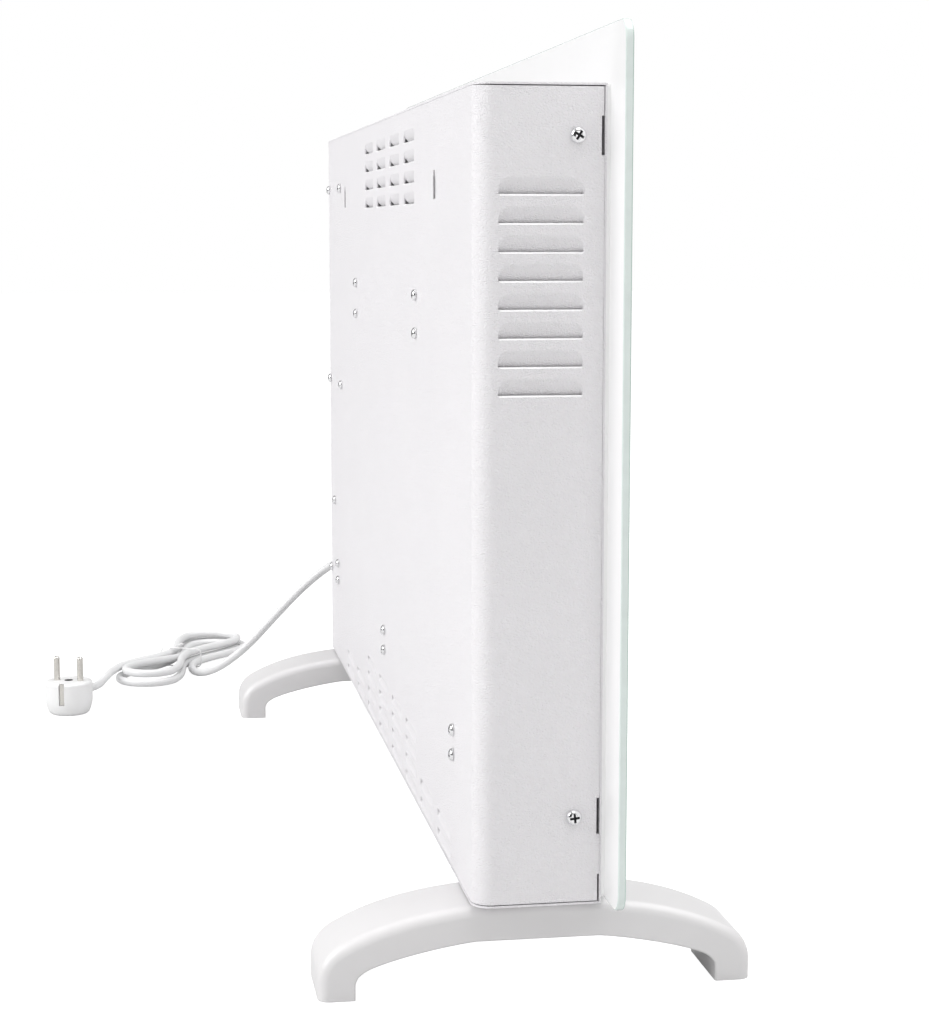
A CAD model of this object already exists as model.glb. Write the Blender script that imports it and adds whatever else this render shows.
"""Visual model of the glass convector heater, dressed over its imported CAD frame.

Metres, +Z up. X runs along the width, the glass faces -Y, the louvred back faces +Y.
Most sizes repeat the part's own source. A few small ones differ here on purpose: louvre depths
and corners, seams and notches, hanger necks, the glass's chamfer, the bead, the feet's arch and
edges, the knob's edge and pointer, the gland's ribs, and the plug's contacts. Round pieces have
more sides here.
"""

import math

import bmesh
import bpy
from mathutils import Matrix, Vector


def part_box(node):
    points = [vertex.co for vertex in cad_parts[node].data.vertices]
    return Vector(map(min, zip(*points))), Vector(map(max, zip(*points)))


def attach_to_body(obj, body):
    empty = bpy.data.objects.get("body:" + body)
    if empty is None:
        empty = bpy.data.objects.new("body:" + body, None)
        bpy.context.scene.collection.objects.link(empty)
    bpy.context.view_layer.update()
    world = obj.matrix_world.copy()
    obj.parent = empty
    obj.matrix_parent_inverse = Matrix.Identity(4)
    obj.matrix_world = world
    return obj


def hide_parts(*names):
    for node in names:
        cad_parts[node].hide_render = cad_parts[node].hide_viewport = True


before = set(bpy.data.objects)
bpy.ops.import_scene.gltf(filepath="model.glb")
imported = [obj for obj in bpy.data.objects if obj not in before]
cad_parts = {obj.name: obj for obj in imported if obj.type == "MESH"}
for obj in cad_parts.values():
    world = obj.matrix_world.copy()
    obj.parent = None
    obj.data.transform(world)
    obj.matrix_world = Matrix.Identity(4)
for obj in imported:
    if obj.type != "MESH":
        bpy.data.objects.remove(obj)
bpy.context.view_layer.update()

# Clearances
SEAT_GAP = 0.0003
SEAM_GAP = 0.0006
HOLE_PLAY = 0.0004
OVERRUN = 0.002
WELD = 0.00001

# Sides of the screw holes and of turned plastic pieces
HOLE_STEPS = 12
TURNED_STEPS = 40

# Body
BODY_WIDTH = 0.700
BODY_HEIGHT = 0.400
BODY_DEPTH = 0.064
BODY_SETBACK = 0.002
BODY_CORNER_RADIUS = 0.010
SHEET = 0.001
LIP_DEPTH = 0.010
TAB_DEPTH = 0.024
TAB_HEIGHT = 0.016
NOTCH_DEPTH = 0.0010
TIGHT_SEAM = 0.00015
LOW_NOTCH_DEPTH = 0.0004
NOTCH_HEIGHT = 0.0185
LOW_NOTCH_HEIGHT = 0.0135
BEND_STEPS = 14

# Glass
GLASS_SIDE_OVERHANG = 0.030
GLASS_TOP_RISE = 0.028
GLASS_BOTTOM_RISE = 0.003
GLASS_THICKNESS = 0.004
GLASS_CORNER_RADIUS = 0.010
GLASS_CHAMFER = 0.0006
GLASS_CORNER_STEPS = 20
DISSOLVE_ANGLE = math.radians(0.5)
# A face counts as flat on or as the arris by how much its normal points along the depth
FLAT_NORMAL = 0.99
ARRIS_NORMAL = 0.2
BEAD_THICKNESS = 0.001
BEAD_WIDTH = 0.012
BEAD_INSET = 0.0002
BEAD_CORNER_RADIUS = 0.002

# Feet
FOOT_LENGTH = 0.220
FOOT_HEIGHT = 0.046
FOOT_WIDTH = 0.048
FOOT_INSET = 0.008
FOOT_LEG_THICKNESS = 0.0185
FOOT_ARCH_HEIGHT = 0.029
FOOT_EDGE_RADIUS = 0.0056
FOOT_ARCH_ROUND = 0.0012
FOOT_ROUND_STEPS = 7
FOOT_WELL_STEPS = 28
CROWN_STEPS, SHOULDER_STEPS = 24, 14
KNEE_STEPS, ARCH_STEPS = 8, 20
FOOT_SCREW_RADIUS = 0.0025
FOOT_SCREW_HEAD_RADIUS = 0.0045
FOOT_SCREW_HEAD_HEIGHT = 0.0035
FOOT_SCREW_SEAT_DEPTH = 0.009
FOOT_SCREW_STICKS_UP = 0.004
CROWN_END_SHARES = (0.880, 0.615)
CROWN_HANDLE_SHARES = ((0.364, 1.0), (0.655, 0.895))
SHOULDER_END_SHARES = (1.0, 0.215)
SHOULDER_HANDLE_SHARES = ((0.955, 0.535), (1.0, 0.395))
ARCH_FOOT_SHARES = (1.0, 0.24)
ARCH_HIP_SHARES = (0.918, 0.53)
ARCH_KNEE_HANDLE_SHARES = ((1.0, 0.38), (0.967, 0.46))
ARCH_HANDLE_SHARES = ((0.787, 0.70), (0.492, 0.883))
ARCH_FLAT_SHARES = (0.339, 0.924)

# Louvres: opening length, height and depth of each kind. Its look is the corners' share of the
# height, how far the pressed lip rises, and whether the ends are sheared open.
SIDE_LOUVRE_SIZE = (0.0414, 0.0083, 0.0025)
SIDE_LOUVRE_LOOK = (0.75, 0.0, False)
SIDE_LOUVRE_PITCH = 0.01364
SIDE_LOUVRE_COUNT = 8
SIDE_LOUVRE_FIRST_DROP = 0.0520
SIDE_LOUVRE_FRONT_SPACE = 0.0096
LOUVRE_END_SHARE = 0.15
LIP_FAN_SHARE = 0.005
SLIT_CHAMFER = 0.0008
LOUVRE_CORNER_STEPS = 7
LOUVRE_RINGS = (0.0, 0.03, 0.07, 0.12, 0.18, 0.30, 0.50, 0.75, 1.0)
LOUVRE_BLEND = 0.12
VENT_SIZE = (0.0445, 0.0070, 0.0030)
VENT_LOOK = (0.45, 0.0004, True)
VENT_PITCH_X = 0.0652
VENT_PITCH_Z = 0.0118
VENT_COLUMN_COUNT = 4
VENT_ROW_COUNT = 4
VENT_FIRST_DROP = 0.0185
VENT_CENTRE_X = -0.025
INTAKE_SIZE = (0.0460, 0.0056, 0.0026)
INTAKE_LOOK = (0.60, 0.0, False)
INTAKE_PITCH_Z = 0.0106
INTAKE_COLUMN_COUNT = 8
INTAKE_SHORT_COLUMN_COUNT = 4
INTAKE_ROW_COUNT = 4
INTAKE_LONG_ROW_COUNT = 2
INTAKE_FIRST_RISE = 0.0084
OUTLET_LENGTH = 0.044
OUTLET_WIDTH = 0.006
OUTLET_PITCH_X = 0.062
OUTLET_PITCH_Y = 0.016
OUTLET_COLUMN_COUNT = 9
OUTLET_ROW_COUNT = 2
OUTLET_CENTRE_X = -0.030
OUTLET_END_STEPS = 10
INLET_ROW_COUNT = 1
HANGER_SPREAD = 0.444
HANGER_DROP = 0.0405
HANGER_WIDTH = 0.008
HANGER_HEIGHT = 0.012
HANGER_NECK_WIDTH = 0.0045
HANGER_NECK_HEIGHT = 0.003

# Screws
SCREW_RADIUS = 0.0017
SCREW_HEAD_RADIUS = 0.0034
SCREW_HEAD_HEIGHT = 0.0022
SCREW_LENGTH = 0.0065
SIDE_SCREW_RADIUS = 0.002
SIDE_SCREW_HEAD_RADIUS = 0.0040
SIDE_SCREW_HEAD_HEIGHT = 0.0028
SIDE_SCREW_LENGTH = 0.007
SIDE_SCREW_SETBACK = 0.0140
SIDE_SCREW_TOP_DROP = 0.0245
SIDE_SCREW_RISE = 0.0445
SCREW_STEPS = 28
# Dome of a head as shares of its radius and height
SCREW_DOME = ((0.0, 1.0), (0.30, 0.99), (0.52, 0.94), (0.70, 0.84), (0.84, 0.68), (0.94, 0.46),
              (0.99, 0.24), (1.0, 0.1), (0.98, 0.0))
THREAD_RING_COUNT = 5
THREAD_CREST_SHARE = 0.04
THREAD_ROOT_SHARES = (0.78, 0.10)
SCREW_TIP_SHARES = ((0.78, 0.94), (0.3, 1.0))
RECESS_REACH_SHARE = 0.60
RECESS_HALF_WIDTH_SHARE = 0.15
# The recess narrows downwards: shares of its reach and the head's height, and its widest reach
RECESS_DEEP_SHARES = (0.35, 0.25)
RECESS_WIDE_HEIGHT_SHARE = 0.8
RECESS_FLARE = 1.2
# A head's face is painted as recess inside these shares of the reach and of the head's height
RECESS_PAINT_REACH = 1.02
RECESS_PAINT_HEIGHTS = (0.2, 0.9)
RECESS_FLOOR_HEIGHT = 0.5
RECESS_WALL_NORMAL = 0.75
# The turns that the screws were left at follow from these, one screw after the other
FIRST_SCREW_TURN = 0.4
REAR_SCREW_TURN = (7.3, 0.61)
SIDE_SCREW_TURN = (5.1, 0.45)
SCREW_TURN_LIMIT = 1.57

# Controls
BEZEL_WIDTH = 0.042
BEZEL_HEIGHT = 0.150
BEZEL_THICKNESS = 0.0025
BEZEL_CORNER_RADIUS = 0.006
BEZEL_TOP_DROP = 0.034
# Bezel edges that get a bevel: within this share of the corner radius, sharper than radians
BEZEL_BORDER_SHARE = 0.35
SHARP_FACE_ANGLE = 1.0
BUSH_HOLE_STEPS = 28
KNOB_DROP_SHARE = 0.200
ROCKER_DROP_SHARES = (0.560, 0.800)
KNOB_RADIUS = 0.0175
KNOB_GRIP_RADIUS = 0.0145
KNOB_SKIRT_HEIGHT = 0.0035
KNOB_HEIGHT = 0.016
KNOB_STANDS_OFF = 0.0006
KNOB_BORE_DEPTH = 0.011
# Knob's crown: out from the grip and down from the top
KNOB_CROWN = ((-0.0042, 0.0007), (-0.0034, 0.0002), (-0.0026, 0.0), (-0.0016, 0.0002),
              (-0.0007, 0.0009), (-0.0003, 0.0020))
# Skirt's root: out from the grip and up from the skirt. Its edge: in from the rim and down.
KNOB_ROOT = ((0.0, 0.0016), (0.0003, 0.0005), (0.0009, 0.0))
KNOB_EDGE = ((0.0007, 0.0005), (0.0002, 0.0010), (0.0, 0.0018))
KNOB_STEPS = 96
GROOVE_COUNT = 24
GROOVE_RADIUS = 0.0009
GROOVE_STANDS_OUT = 0.0004
GROOVE_RISE = 0.0018
GROOVE_STEPS = 12
POINTER_HALF_WIDTH = 0.0009
POINTER_DEPTH = 0.0016
POINTER_PAINT_SHARE = 0.9
# Dots along the knob's travel, growing from the pointer's place at rest; angles in degrees
DOT_COUNT = 10
DOT_START = 90.0
DOT_TRAVEL = 270.0
DOT_DISTANCE = 0.0023
DOT_RADIUS = 0.00030
DOT_GROWTH = 0.00035
DOT_HEIGHT = 0.00006
DOT_STEPS = 16
SHAFT_RADIUS = 0.003
BUSH_RADIUS = 0.0045
ROCKER_FLANGE_WIDTH = 0.0175
ROCKER_FLANGE_HEIGHT = 0.0245
ROCKER_FLANGE_THICKNESS = 0.002
ROCKER_CASE_WIDTH = 0.0130
ROCKER_CASE_HEIGHT = 0.0200
ROCKER_CASE_DEPTH = 0.016
ROCKER_WALL = 0.0012
ROCKER_PLAY = 0.0008
ROCKER_TILT = math.radians(9.0)
ROCKER_PIVOT_DEPTH = 0.0022
ROCKER_CENTRE_HEIGHT = 0.0022
ROCKER_DEPTH = 0.0040
ROCKER_PIN_RADIUS = 0.0012
ROCKER_STEPS = 12
ROCKER_CREST_POWER = 1.5
ROCKER_EDGE = 0.0004
# Underside of a rocker's key: shares of its half length and of its depth
ROCKER_UNDERSIDE = ((-1, 0.5), (-0.5, 1), (0.5, 1), (1, 0.5))
FLANGE_CORNER_RADIUS = 0.0012
FLANGE_EDGE = 0.0005

# Cord gland
CORD_DIAMETER = 0.0065
CORD_EXIT_RISE = 0.062
CORD_EXIT_INSET = 0.016
GLAND_FLANGE_RADIUS = 0.0085
GLAND_FLANGE_THICKNESS = 0.0025
GLAND_SHANK_RADIUS = 0.0058
GLAND_SHANK_LENGTH = 0.020
GLAND_NOSE_LENGTH = 0.022
GLAND_NOSE_RADIUS = 0.0062
GLAND_TIP_RADIUS = 0.0046
GLAND_RIB_COUNT = 5
GLAND_RIB_DEPTH = 0.0006
GLAND_TIP_EDGE = 0.0004
GLAND_FLANGE_EDGE = 0.0005
GLAND_ROOT_FILLET = 0.0006
# A rib's groove: share of the spacing, share of the depth
GLAND_RIB_FORM = ((0.30, 0.0), (0.24, 0.75), (0.16, 1.0), (-0.16, 1.0), (-0.24, 0.75),
                  (-0.30, 0.0))

# Hank, tie and plug
HANK_CENTRE = Vector((0.505, 0.150, 0.0))
HANK_TURN = math.radians(-24.0)
HANK_RUN_HALF = 0.070
HANK_FOLD_RADIUS = 0.0302
HANK_STEP = 0.0078
HANK_WAIST_HALF = 0.0141
HANK_LAYER_STEP = 0.0073
HALF_TURN_COUNT_IN = 3
HALF_TURN_COUNT_OUT = 2
HANK_STEPS = 40
LEAD_STEPS = 40
TAIL_STEPS = 12
FINE_STEPS = 24
CORD_RESOLUTION = 7
TAIL_PLACE_SHARES = (0.30, 0.56, 0.80)
TAIL_SAGS = (0.0002, 0.0036, 0.0022)
TIE_RADIUS = 0.0005
TIE_CLEARANCE = 0.0005
TIE_CORNER_SHARE = 1.2
TIE_CORNER_STEPS = 8
TIE_RESOLUTION = 3
TWIST_POINT_COUNT = 40
TWIST_TURNS = 5
TWIST_RADIUS = 0.0008
TWIST_ACROSS = 0.004
TWIST_START = 0.0005
TWIST_LENGTH = 0.012
TWIST_RISE = 0.0009
TWIST_DROOP = 0.0004
PLUG_CENTRE = Vector((0.338, 0.243, 0.0))
PLUG_RADIUS = 0.0185
PLUG_FOOT_RADIUS = 0.0150
PLUG_HEIGHT = 0.026
PLUG_EDGE = 0.0022
PLUG_EDGE_STEPS = 6
PLUG_WAIST_STEPS = 8
PLUG_STEPS = 64
SLEEVE_RIB_COUNT = 5
SLEEVE_RIB_DEPTH = 0.0007
SLEEVE_RIBBED_SHARE = 0.62
SLEEVE_FIRST_RIB = 0.7
SLEEVE_RIB_FORM = ((0.26, 0.0), (0.18, 1.0), (-0.18, 1.0), (-0.26, 0.0))
SLEEVE_TIP_EDGE = (0.0004, 0.0005)
PLUG_ENTRY_HEIGHT = 0.0110
PLUG_ENTRY_REACH = 0.034
PLUG_ENTRY_ROOT_RADIUS = 0.0085
PLUG_ENTRY_TIP_RADIUS = 0.0048
PIN_RADIUS = 0.0024
PIN_LENGTH = 0.019
PIN_SPACING = 0.019
PIN_SOCKET_DEPTH = 0.004
PIN_TIP_STEPS = 5
PIN_TIP_SHARE = 0.8
PIN_STEPS = 28
EARTH_HOLE_RADIUS = 0.0034
EARTH_HOLE_DEPTH = 0.014
CLIP_WIDTH = 0.0034
CLIP_THICKNESS = 0.0008
CLIP_SLOT_WIDTH = 0.0044
CLIP_SLOT_DEPTH = 0.0026
CLIP_SLOT_HEIGHT = 0.017
EARTH_HOLE_PAINT_SHARE = 1.01
LEAD_ROUTE = (
    (0.3930, 0.0195, 0.1075),
    (0.4030, 0.0250, 0.1040),
    (0.4102, 0.0335, 0.0975),
    (0.4145, 0.0440, 0.0885),
    (0.4172, 0.0555, 0.0775),
    (0.4190, 0.0675, 0.0650),
    (0.4203, 0.0800, 0.0515),
    (0.4218, 0.0930, 0.0375),
    (0.4250, 0.1070, 0.0245),
)
LEAD_LANDING = (
    (-0.0550, -0.0560, 0.0085),
    (-0.0485, -0.0410, 0.0022),
    (-0.0380, -0.0285, 0.0),
    (-0.0240, -0.0195, 0.0),
)

# Studio: lamps as name, place, target, size, watts; dark cards as name, place, width, height
LAMPS = (
    ("key", (-0.3, 3.3, 2.1), (-0.2, 0.0, 0.2), 2.4, 106.0),
    ("fill", (-3.2, -0.1, 0.95), (-0.3, 0.0, 0.25), 2.2, 13.2),
    ("overhead", (-0.3, -0.8, 2.7), (-0.3, -0.1, 0.0), 3.0, 86.0),
)
DARK_CARDS = (
    ("dark_card", (-2.6, 1.5, 0.55), 2.2, 2.8),
    ("dark_card_behind", (-0.2, 2.4, 0.35), 1.2, 0.8),
)
CARD_TARGET = Vector((-0.3, 0.0, 0.3))
CARD_COLOUR = (0.02, 0.02, 0.02, 1.0)
FLOOR_SIZE = 24.0
FLOOR_COLOUR = (0.62, 0.62, 0.62, 1.0)
FLOOR_GLOW = 1.6
FLOOR_GLOW_SHARE = 0.6
WORLD_STRENGTH = 0.44
# Camera fitted to the photo: focal length in pixels of a picture 1024 high
FOCAL_PIXELS = 2166.4
PICTURE_HEIGHT = 1024
SENSOR_WIDTH = 36.0
CAMERA_PLACE = (-1.3663, 0.2031, 0.3769)
CAMERA_YAW = math.radians(9.20)
CAMERA_PITCH = math.radians(7.39)
NEAR_CLIP = 0.05
# Shared by all materials: shine of the coat, stops of the colour ramp, detail of the noises
COAT_ROUGHNESS = 0.08
RAMP_STOPS = (0.3, 0.7)
MOTTLE_DETAIL = 4.0
GRAIN_DETAIL = 2.0

# Places worked out from the sizes
HALF_WIDTH = BODY_WIDTH / 2
BODY_BOTTOM = FOOT_HEIGHT + SEAT_GAP
BODY_TOP = BODY_BOTTOM + BODY_HEIGHT
REAR_Y = BODY_SETBACK + BODY_DEPTH / 2
FRONT_Y = BODY_SETBACK - BODY_DEPTH / 2
PLATE_BACK_Y = FRONT_Y + SHEET
COVER_FRONT_Y = PLATE_BACK_Y + SEAM_GAP
LINER_Y = REAR_Y - SHEET - SEAT_GAP
COVER_LOW = BODY_BOTTOM + SHEET + SEAM_GAP
COVER_HIGH = BODY_TOP - SHEET - SEAM_GAP
LINER_X = HALF_WIDTH - SHEET - SEAT_GAP
SIDE_SCREW_Y = FRONT_Y + SIDE_SCREW_SETBACK
BEZEL_TOP_Z = BODY_TOP - BEZEL_TOP_DROP
BEZEL_Y = (COVER_FRONT_Y + REAR_Y - BODY_CORNER_RADIUS) / 2
BEZEL_BACK_X = HALF_WIDTH + SEAT_GAP
BEZEL_FACE_X = BEZEL_BACK_X + BEZEL_THICKNESS
KNOB_Z = BEZEL_TOP_Z - KNOB_DROP_SHARE * BEZEL_HEIGHT
ROCKER_HEIGHTS = [BEZEL_TOP_Z - share * BEZEL_HEIGHT for share in ROCKER_DROP_SHARES]
ROCKER_AXIS_X = BEZEL_FACE_X + SEAT_GAP + ROCKER_FLANGE_THICKNESS - ROCKER_PIVOT_DEPTH
GLAND_Y = REAR_Y - CORD_EXIT_INSET
GLAND_Z = BODY_BOTTOM + CORD_EXIT_RISE
GLAND_FACE_X = HALF_WIDTH + SEAT_GAP
GLAND_TIP_X = GLAND_FACE_X + GLAND_FLANGE_THICKNESS + GLAND_NOSE_LENGTH
CORD_RADIUS = CORD_DIAMETER / 2
HANK_LOW_Z = CORD_RADIUS + 2 * TIE_RADIUS + TIE_CLEARANCE + SEAT_GAP
HANK_HIGH_Z = HANK_LOW_Z + HANK_LAYER_STEP
FLAT_HALF = HALF_WIDTH - BODY_CORNER_RADIUS
BEND_LENGTH = BODY_CORNER_RADIUS * math.pi / 2
BLANK_HALF = FLAT_HALF + BEND_LENGTH + REAR_Y - BODY_CORNER_RADIUS - COVER_FRONT_Y
BEAD_BACK_Y = FRONT_Y - SEAT_GAP
GLASS_BACK_Y = BEAD_BACK_Y - BEAD_THICKNESS - SEAT_GAP
GLASS_WIDTH = BODY_WIDTH + 2 * GLASS_SIDE_OVERHANG
GLASS_LOW = BODY_BOTTOM + GLASS_BOTTOM_RISE
GLASS_HIGH = BODY_TOP + GLASS_TOP_RISE
REAR_FACING = Matrix.Rotation(math.radians(-90.0), 4, "X")
RIGHT_FACING = Matrix.Rotation(math.radians(90.0), 4, "Y")
LEFT_FACING = Matrix.Rotation(math.radians(-90.0), 4, "Y")


# Materials


def add_node(tree, kind, **values):
    """A shader node; the values are its inputs by name, with _ for a space."""
    node = tree.nodes.new("ShaderNode" + kind)
    for name, value in values.items():
        node.inputs[name.replace("_", " ")].default_value = value
    return node


def link_all(tree, *pairs):
    for result, entry in pairs:
        tree.links.new(result, entry)


def surface(name, colour, roughness, metallic=0.0, spread=0.015, mottle=30.0, grain=900.0,
            bump=0.2, depth=0.00005, rough_spread=0.05, coat=0.0, specular=0.5, stretch=None):
    """A Principled material with procedural colour, roughness and relief."""
    material = bpy.data.materials.new(name)
    material.use_nodes = True
    tree = material.node_tree
    shader = tree.nodes["Principled BSDF"]
    shader.inputs["Metallic"].default_value = metallic
    shader.inputs["Specular IOR Level"].default_value = specular
    shader.inputs["Coat Weight"].default_value = coat
    shader.inputs["Coat Roughness"].default_value = COAT_ROUGHNESS
    source = add_node(tree, "TexCoord").outputs["Object"]
    if stretch is not None:
        mapping = add_node(tree, "Mapping", Scale=stretch)
        tree.links.new(source, mapping.inputs["Vector"])
        source = mapping.outputs["Vector"]
    cloud = add_node(tree, "TexNoise", Scale=mottle, Detail=MOTTLE_DETAIL)
    ramp = add_node(tree, "ValToRGB")
    stops = ramp.color_ramp.elements
    for stop, position, share in zip(stops, RAMP_STOPS, (1 - spread, 1 + spread)):
        stop.position = position
        stop.color = (*(min(1.0, c * share) for c in colour), 1.0)
    fine = add_node(tree, "TexNoise", Scale=grain, Detail=GRAIN_DETAIL)
    low, high = roughness - rough_spread, roughness + rough_spread
    span = add_node(tree, "MapRange", To_Min=low, To_Max=high)
    relief = add_node(tree, "Bump", Strength=bump, Distance=depth)
    link_all(
        tree,
        (source, cloud.inputs["Vector"]),
        (cloud.outputs["Fac"], ramp.inputs["Fac"]),
        (ramp.outputs["Color"], shader.inputs["Base Color"]),
        (source, fine.inputs["Vector"]),
        (fine.outputs["Fac"], span.inputs["Value"]),
        (span.outputs["Result"], shader.inputs["Roughness"]),
        (fine.outputs["Fac"], relief.inputs["Height"]),
        (relief.outputs["Normal"], shader.inputs["Normal"]),
    )
    material.diffuse_color = (*colour, 1.0)
    return material


COAT = surface("powder_coat_orange_peel", (0.815, 0.80, 0.82), 0.48, grain=1400.0, bump=1.0,
               depth=0.0008, rough_spread=0.06, specular=0.3, spread=0.008, mottle=14.0,
               stretch=(0.75, 0.75, 1.2))
COAT_EDGE = surface("powder_coat_built_up_edge", (0.94, 0.935, 0.945), 0.30, grain=820.0,
                    bump=0.3, depth=0.0001, spread=0.008, mottle=14.0, coat=0.3)
PRINT = surface("white_print_on_glass", (0.845, 0.845, 0.845), 0.34, grain=90.0, bump=0.02,
                depth=0.0001, spread=0.006, coat=0.15)
FRONT = surface("white_glass_front", (0.83, 0.86, 0.85), 0.05, grain=60.0, bump=0.01,
                depth=0.0001, rough_spread=0.015, spread=0.004, coat=1.0)
RIM = surface("ground_glass_edge", (0.68, 0.75, 0.725), 0.22, grain=1500.0, bump=0.15,
              spread=0.03, mottle=120.0, coat=0.3)
DEEP_RIM = surface("glass_front_arris", (0.46, 0.58, 0.53), 0.2, grain=1500.0, bump=0.1,
                   spread=0.03, mottle=120.0)
BEAD = surface("white_silicone_bead", (0.93, 0.93, 0.93), 0.5, grain=300.0, bump=0.3,
               depth=0.0002)
FOOT = surface("foot_abs", (0.698, 0.688, 0.692), 0.34, grain=1600.0, bump=0.25, depth=0.00008,
               spread=0.008, mottle=18.0)
BRIGHT = surface("zinc_plated_screw", (0.84, 0.84, 0.85), 0.13, metallic=1.0, grain=2500.0,
                 bump=0.12, depth=0.00004, spread=0.05, mottle=600.0)
DARK = surface("screw_recess_shadow", (0.045, 0.045, 0.05), 0.5, metallic=0.6, grain=2500.0)
PLAIN = surface("galvanised_sheet", (0.55, 0.56, 0.57), 0.36, metallic=1.0, grain=420.0,
                bump=0.1, spread=0.12, mottle=160.0, rough_spread=0.08)
FIN = surface("extruded_aluminium", (0.70, 0.70, 0.71), 0.34, metallic=1.0, spread=0.04,
              mottle=90.0, stretch=(0.05, 1.0, 1.0))
BLACK = surface("black_moulded_plastic", (0.028, 0.028, 0.030), 0.42, grain=1800.0, bump=0.3,
                spread=0.15, mottle=80.0)
WHITE = surface("white_moulded_plastic", (0.80, 0.80, 0.80), 0.30, grain=1700.0,
                depth=0.00006, spread=0.008, mottle=40.0)
MARKS = surface("grey_print_marks", (0.30, 0.31, 0.32), 0.45, grain=1800.0, bump=0.1,
                spread=0.05)
PVC = surface("cord_jacket", (0.73, 0.73, 0.735), 0.36, grain=500.0, bump=0.15, depth=0.00006,
              mottle=60.0)
NICKEL = surface("nickel_plated_pin", (0.70, 0.68, 0.64), 0.20, metallic=1.0, grain=1500.0,
                 bump=0.08, depth=0.00004, spread=0.05, mottle=300.0)


# Mesh helpers


def new_object(name, data):
    obj = bpy.data.objects.new(name, data)
    bpy.context.scene.collection.objects.link(obj)
    return obj


def opened(mesh):
    bm = bmesh.new()
    bm.from_mesh(mesh)
    return bm


def finish_mesh(bm, name):
    bmesh.ops.recalc_face_normals(bm, faces=bm.faces)
    mesh = bpy.data.meshes.new(name)
    bm.to_mesh(mesh)
    bm.free()
    return mesh


def applied(name, obj, *tools):
    """The mesh of a scratch object with its modifiers applied; the objects are removed."""
    graph = bpy.context.evaluated_depsgraph_get()
    graph.update()
    mesh = bpy.data.meshes.new_from_object(obj.evaluated_get(graph), depsgraph=graph)
    mesh.name = name
    for spent in (obj, *tools):
        bpy.data.objects.remove(spent, do_unlink=True)
    return mesh


def carved(mesh, *steps):
    """A mesh after boolean steps of (operation, tool mesh)."""
    blank = new_object("temporary", mesh)
    tools = []
    for operation, tool_mesh in steps:
        tool = new_object("temporary", tool_mesh)
        modifier = blank.modifiers.new("step", "BOOLEAN")
        modifier.operation = operation
        modifier.solver = "EXACT"
        modifier.use_self = operation == "DIFFERENCE"
        modifier.object = tool
        tools.append(tool)
    return applied(mesh.name, blank, *tools)


def bevelled(mesh, width, segments=3, angle=40.0, weights=False):
    blank = new_object("temporary", mesh)
    modifier = blank.modifiers.new("bevel", "BEVEL")
    modifier.width = width
    modifier.segments = segments
    modifier.limit_method = "WEIGHT" if weights else "ANGLE"
    modifier.angle_limit = math.radians(angle)
    return applied(mesh.name, blank)


def paint(mesh, materials, choose):
    """Give a mesh its materials, and each face the one that the rule picks."""
    mesh.materials.clear()
    for material in materials:
        mesh.materials.append(material)
    for face in mesh.polygons:
        face.material_index = int(choose(face))


def attach(obj, nodes, body="heater"):
    """Let a shown object ride on a body in place of CAD nodes."""
    bpy.context.view_layer.update()
    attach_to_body(obj, body)
    if nodes:
        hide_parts(*nodes)
    return obj


def piece(name, mesh, material, nodes, body="heater", place=None, sharp=30.0):
    """A shown piece that stands for CAD nodes and rides on a body."""
    obj = new_object(name, mesh)
    if not mesh.materials:
        mesh.materials.append(material)
    if place is not None:
        obj.matrix_world = place
    mesh.shade_smooth()
    mesh.set_sharp_from_angle(angle=math.radians(sharp))
    normals = obj.modifiers.new("even_normals", "WEIGHTED_NORMAL")
    normals.keep_sharp = True
    return attach(obj, nodes, body)


def tube(name, lines, radius, resolution, material, nodes):
    """A round tube along each (points, closed) line, shown in place of CAD nodes."""
    curve = bpy.data.curves.new(name, "CURVE")
    curve.dimensions = "3D"
    curve.bevel_depth = radius
    curve.bevel_resolution = resolution
    curve.use_fill_caps = True
    for points, closed in lines:
        spline = curve.splines.new("POLY")
        spline.points.add(len(points) - 1)
        for knot, place in zip(spline.points, points):
            knot.co = (*place, 1.0)
        spline.use_cyclic_u = closed
    curve.materials.append(material)
    return attach(new_object(name, curve), nodes)


def box(bm, low, high):
    size = [b - a for a, b in zip(low, high)]
    middle = [(a + b) / 2 for a, b in zip(low, high)]
    place = Matrix.Translation(middle) @ Matrix.Diagonal((*size, 1.0))
    bmesh.ops.create_cube(bm, size=1.0, matrix=place)


def box_mesh(name, low, high):
    bm = bmesh.new()
    box(bm, low, high)
    return finish_mesh(bm, name)


def rod(bm, start, end, radius, sides=24):
    start = Vector(start)
    axis = Vector(end) - start
    turn = Vector((0.0, 0.0, 1.0)).rotation_difference(axis.normalized()).to_matrix().to_4x4()
    bmesh.ops.create_cone(
        bm,
        cap_ends=True,
        segments=sides,
        radius1=radius,
        radius2=radius,
        depth=axis.length,
        matrix=Matrix.Translation(start + axis / 2) @ turn,
    )


def rod_mesh(start, end, radius, sides=24):
    bm = bmesh.new()
    rod(bm, start, end, radius, sides)
    return finish_mesh(bm, "rod")


def turned_mesh(name, profile, steps):
    """Turn a profile of (radius, height) points, top to bottom, about Z."""
    bm = bmesh.new()
    rings = []
    for radius, height in profile:
        if radius < WELD:
            rings.append([bm.verts.new((0.0, 0.0, height))])
            continue
        ring = []
        for step in range(steps):
            angle = 2 * math.pi * step / steps
            ring.append(bm.verts.new((radius * math.cos(angle), radius * math.sin(angle), height)))
        rings.append(ring)
    for upper, lower in zip(rings, rings[1:]):
        for step in range(steps):
            after = (step + 1) % steps
            corners = [upper[step % len(upper)], lower[step % len(lower)]]
            corners += [lower[after % len(lower)], upper[after % len(upper)]]
            face = list(dict.fromkeys(corners))
            if len(face) > 2:
                bm.faces.new(face)
    return finish_mesh(bm, name)


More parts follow.
